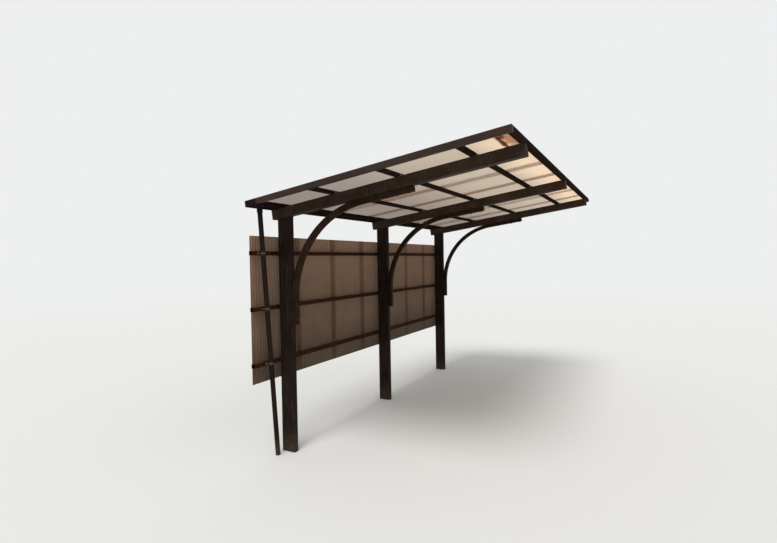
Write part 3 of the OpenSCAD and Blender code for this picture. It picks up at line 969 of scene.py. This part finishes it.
def place_parts(name, build, places, finish, lift=0.0, spin=0.0, seed=1):
    """Copies of a small part at (point, facing, heading) places, as one piece."""
    part = part_object(name + ".part", build)
    mesh = bpy.data.meshes.new(name + ".points")
    mesh.from_pydata([tuple(point) for point, facing, heading in places], [], [])
    for label, pick in (("facing", 1), ("heading", 2)):
        values = mesh.attributes.new(label, "FLOAT_VECTOR", "POINT").data
        for place, value in zip(places, values):
            value.vector = place[pick]
    inputs = {"Part": part, "Lift": lift, "Spin": spin, "Seed": seed}
    grown(name, mesh, PLACING, inputs, finish)
    bpy.data.objects.remove(part)


def place_screws(name, build, places, finish, lift=0.0, seed=1):
    """Copies of a screw or bolt, each turned by chance."""
    place_parts(name, build, places, finish, lift=lift, spin=math.pi, seed=seed)


def lay_beads(name, lines, finish, radius, step, ripple=0.0, wavelength=0.01, seed=1.0):
    """Round beads along lists of points, as one piece; a line may end where it starts."""
    points, edges = [], []
    for line in lines:
        closed = (Vector(line[0]) - Vector(line[-1])).length < 1e-6
        own = line[:-1] if closed else line
        start = len(points)
        points += [tuple(p) for p in own]
        edges += [(start + i, start + i + 1) for i in range(len(own) - 1)]
        if closed:
            edges.append((start + len(own) - 1, start))
    mesh = bpy.data.meshes.new(name + ".path")
    mesh.from_pydata(points, edges, [])
    piece = grown(name, mesh, BEAD, {
        "Radius": radius, "Step": step, "Ripple": ripple, "Wavelength": wavelength, "Seed": seed,
    }, finish)
    piece.data.shade_smooth()


def bracket_screws(places, out_a, out_b, thickness):
    """Where the screws sit on the two legs of brackets at (corner, facing, heading) places."""
    found = []
    for corner, facing, heading in places:
        found.append((corner + heading * out_a + facing * thickness, facing, heading))
        found.append((corner + facing * out_b + heading * thickness, heading, facing))
    return found


def fix_roof(zinc, rubber, cleat_metal):
    """Screws through the glazing bars and panels into the purlins, and the brackets under them."""
    ends = (-ROOF_END,) + BAR_PLACES + (ROOF_END,)
    on_bars = [
        (slope_point(u, y, PANEL_TOP + BAR_CAP_THICKNESS), OFF_SLOPE, UP_SLOPE)
        for u in (GUTTER_FRONT - GUTTER_WALL / 2,) + PURLIN_PLACES for y in BAR_PLACES
    ]
    on_panels = [
        (slope_point(u, (near + beyond) / 2, PANEL_TOP), OFF_SLOPE, UP_SLOPE)
        for u in PURLIN_PLACES for near, beyond in zip(ends, ends[1:])
    ]
    head_radius, washer_height = 0.0045, 0.002
    washer = soft_washer(radius=0.0095, height=washer_height)
    on_washer = washer_height - WASHER_SQUEEZE
    place_screws("bar_screws", hex_screw(head_radius), on_bars, zinc, seed=4)
    place_parts("panel_washers", washer, on_panels, rubber)
    place_screws("panel_screws", hex_screw(head_radius), on_panels, zinc, lift=on_washer, seed=9)

    purlin_fronts = [u + PURLIN_WIDTH / 2 for u in PURLIN_PLACES]
    cleats = [
        (slope_point(u, y, BEAM_DEPTH), OFF_SLOPE, UP_SLOPE)
        for u in purlin_fronts for y in POST_PLACES
    ]
    joints = [(u, UP_SLOPE) for u in purlin_fronts]
    joints += [(GUTTER_FRONT, UP_SLOPE), (ROOF_REACH - FRONT_WIDTH, -UP_SLOPE)]
    inside, half_up = ROOF_END - SIDE_WIDTH, BEAM_DEPTH + PURLIN_HEIGHT / 2
    corners = [
        (slope_point(u, side * inside, half_up), facing, -side * ALONG_ROW)
        for u, facing in joints for side in (-1, 1)
    ]
    thick, thin = 0.003, 0.0025
    wide = angle_bracket(leg_a=0.032, leg_b=0.022, width=0.05, thickness=thick)
    narrow = angle_bracket(leg_a=0.03, leg_b=0.03, width=0.02, thickness=thin)
    place_parts("purlin_cleats", wide, cleats, cleat_metal)
    place_parts("corner_cleats", narrow, corners, cleat_metal)
    screws = bracket_screws(cleats, out_a=0.02, out_b=0.013, thickness=thick)
    screws += bracket_screws(corners, out_a=0.019, out_b=0.019, thickness=thin)
    place_screws("cleat_screws", cup_bolt(head_radius), screws, zinc, seed=6)


def lay_glazing_strips(rubber):
    """Rubber strips beside the glazing bars and along the grooves that hold the panels."""
    off_panel, off_frame, off_cap = 0.0006, 0.0006, 0.0008
    over_gutter = 0.04
    back, front = GUTTER_FRONT - over_gutter, ROOF_REACH - FRONT_WIDTH
    over, below = PANEL_TOP + off_panel, PANEL_TOP - PANEL_THICKNESS - off_panel
    inside = ROOF_END - SIDE_WIDTH
    strips = []
    for y in BAR_PLACES:
        for side in (-1, 1):
            edge = y + side * (BAR_CAP / 2 + off_cap)
            strips.append([slope_point(back, edge, over), slope_point(front, edge, over)])
    for side in (-1, 1):
        edge = side * (inside - off_frame)
        for w in (over, below):
            strips.append([slope_point(GUTTER_FRONT, edge, w), slope_point(front, edge, w)])
    for w in (over, below):
        strips.append([slope_point(front - off_frame, y, w) for y in (-inside, inside)])
    lay_beads("glazing_strips", strips, rubber, radius=0.0016, step=0.25)


def fix_braces(paint_bolt):
    """Bolts through each brace into its post and its beam."""
    places = []
    from_ends = (0.04, 0.15)
    for y in POST_PLACES:
        for from_end in from_ends:
            places.append((Vector((BRACE_FRONT, y, BRACE_FOOT + from_end)), FORWARD, ALONG_ROW))
        for from_end in from_ends:
            under_beam = slope_point(BRACE_REACH - from_end, y, POST_FRONT - BRACE_FRONT)
            places.append((under_beam, -OFF_SLOPE, ALONG_ROW))
    place_screws("brace_bolts", cup_bolt(radius=0.011), places, paint_bolt, seed=3)


def weld_post_tops(weld):
    """Weld beads round the tops of the posts, under the beams."""
    lines = []
    below_beam = 0.001
    for y in POST_PLACES:
        near, far = y - POST_HALF_WIDTH, y + POST_HALF_WIDTH
        loop = ((POST_BACK, near), (POST_FRONT, near), (POST_FRONT, far), (POST_BACK, far))
        loop += loop[:1]
        lines.append([slope_point(x / math.cos(ROOF_SLOPE), side, -below_beam) for x, side in loop])
    lay_beads("post_welds", lines, weld,
              radius=0.0035, step=0.002, ripple=0.0022, wavelength=0.004, seed=2.0)


def seat_rails(steel, zinc):
    """Angle seats that hold the rails on the backs of the posts."""
    thickness = 0.003
    seats = [
        (Vector((POST_BACK, y, z - RAIL_HALF)), -UPWARD, -FORWARD)
        for y in POST_PLACES for z in RAIL_HEIGHTS
    ]
    seat = angle_bracket(leg_a=0.032, leg_b=0.04, width=0.04, thickness=thickness)
    place_parts("rail_seats", seat, seats, steel)
    bolts = bracket_screws(seats, out_a=0.019, out_b=0.025, thickness=thickness)
    place_screws("seat_bolts", hex_screw(radius=0.0055), bolts, zinc, seed=8)


def fix_sheets(zinc, rubber):
    """Screws with rubber washers from behind, through the corrugated sheets into the rails."""
    places = []
    waves, waves_apart = len(SHEETS) * COVER_WAVES + int(LAP_WAVES), 6
    for crest in range(1, waves, waves_apart):
        sheet = crest // COVER_WAVES
        lapped = sheet > 0 and crest % COVER_WAVES <= LAP_WAVES
        layer = 1 if lapped else min(sheet, len(SHEETS) - 1) % 2
        x = RAIL_BACK - SHEET_GAP - SHEET_THICKNESS - layer * (SHEET_THICKNESS + SHEET_GAP)
        for z in RAIL_HEIGHTS:
            places.append((Vector((x, SCREEN_START + crest * WAVE_PITCH, z)), -FORWARD, UPWARD))
    washer_height = 0.0025
    washer = soft_washer(radius=0.006, height=washer_height)
    on_washer = washer_height - WASHER_SQUEEZE
    place_parts("sheet_washers", washer, places, rubber)
    place_screws("sheet_screws", hex_screw(radius=0.004), places, zinc, lift=on_washer, seed=5)


def fix_pipe(zinc):
    """Screws in the clips' base plates and in the flange of the outlet socket."""
    in_clips, in_flange = [], []
    for z in RAIL_HEIGHTS:
        y = PIPE_FOOT_Y + (OUTLET.y - PIPE_FOOT_Y) * (z / OUTLET.z)
        for side in (-1, 1):
            beside = y + side * (CLIP_STRAP / 2 + CLIP_EAR / 2)
            in_clips.append((Vector((POST_BACK + CLIP_BASE, beside, z)), FORWARD, UPWARD))
    place_screws("clip_screws", hex_screw(radius=0.0042), in_clips, zinc, seed=7)
    screw_circle = 0.0292
    for i in range(4):
        angle = math.pi / 4 + i * math.pi / 2
        u = OUTLET_U + screw_circle * math.cos(angle)
        y = OUTLET.y + screw_circle * math.sin(angle)
        in_flange.append((slope_point(u, y, BEAM_DEPTH - FLANGE_THICKNESS), -OFF_SLOPE, UP_SLOPE))
    place_screws("socket_screws", cup_bolt(radius=0.004), in_flange, zinc, seed=2)


def seal_gutter(sealant):
    """Sealant in the gutter's corners at its two end plates."""
    back, front = GUTTER_BACK + GUTTER_WALL, GUTTER_FRONT - GUTTER_WALL
    floor = BEAM_DEPTH + GUTTER_WALL
    back_rise, below_panel, off_plate = 0.036, 0.003, 0.0022
    lines = []
    for side in (-1, 1):
        y = side * (ROOF_END - GUTTER_WALL - off_plate)
        path = (
            (back, BEAM_DEPTH + back_rise), (back, floor),
            (front, floor), (front, BEAM_DEPTH + PURLIN_HEIGHT - below_panel),
        )
        lines.append([slope_point(u, y, w) for u, w in path])
    lay_beads("gutter_sealant", lines, sealant,
              radius=0.003, step=0.006, ripple=0.002, wavelength=0.012)


def dress_fittings():
    zinc = dulled_zinc("screw zinc", "#6b665f", "#8d877e", rust=0.35)
    rubber = aged_rubber()
    cleat = dulled_zinc("cleat metal", "#4a423c", "#5f564e", rust=0.25)
    fix_roof(zinc, rubber, cleat)
    lay_glazing_strips(rubber)
    fix_braces(painted_steel("bolt paint", "#342822", "#43362d", UPRIGHT, rust=0.3))
    weld_post_tops(painted_steel("weld paint", "#2b2220", "#382d29", UPRIGHT, rust=0.35))
    seat_rails(painted_steel("seat paint", "#3a281f", "#4c3324", UPRIGHT, rust=0.5), zinc)
    fix_sheets(zinc, rubber)
    fix_pipe(zinc)
    seal_gutter(aged_sealant())


bpy.context.scene.view_settings.view_transform = "Standard"
place_camera()
light_world()
add_sun("key light", strength=1.8, spread_angle=28, height=58, bearing=-80,
        colour=(1.0, 0.98, 0.945))
add_sun("fill light", strength=0.3, spread_angle=60, height=40, bearing=-20,
        colour=(0.96, 0.98, 1.0))
lay_floor()
dress_solids()
dress_fittings()
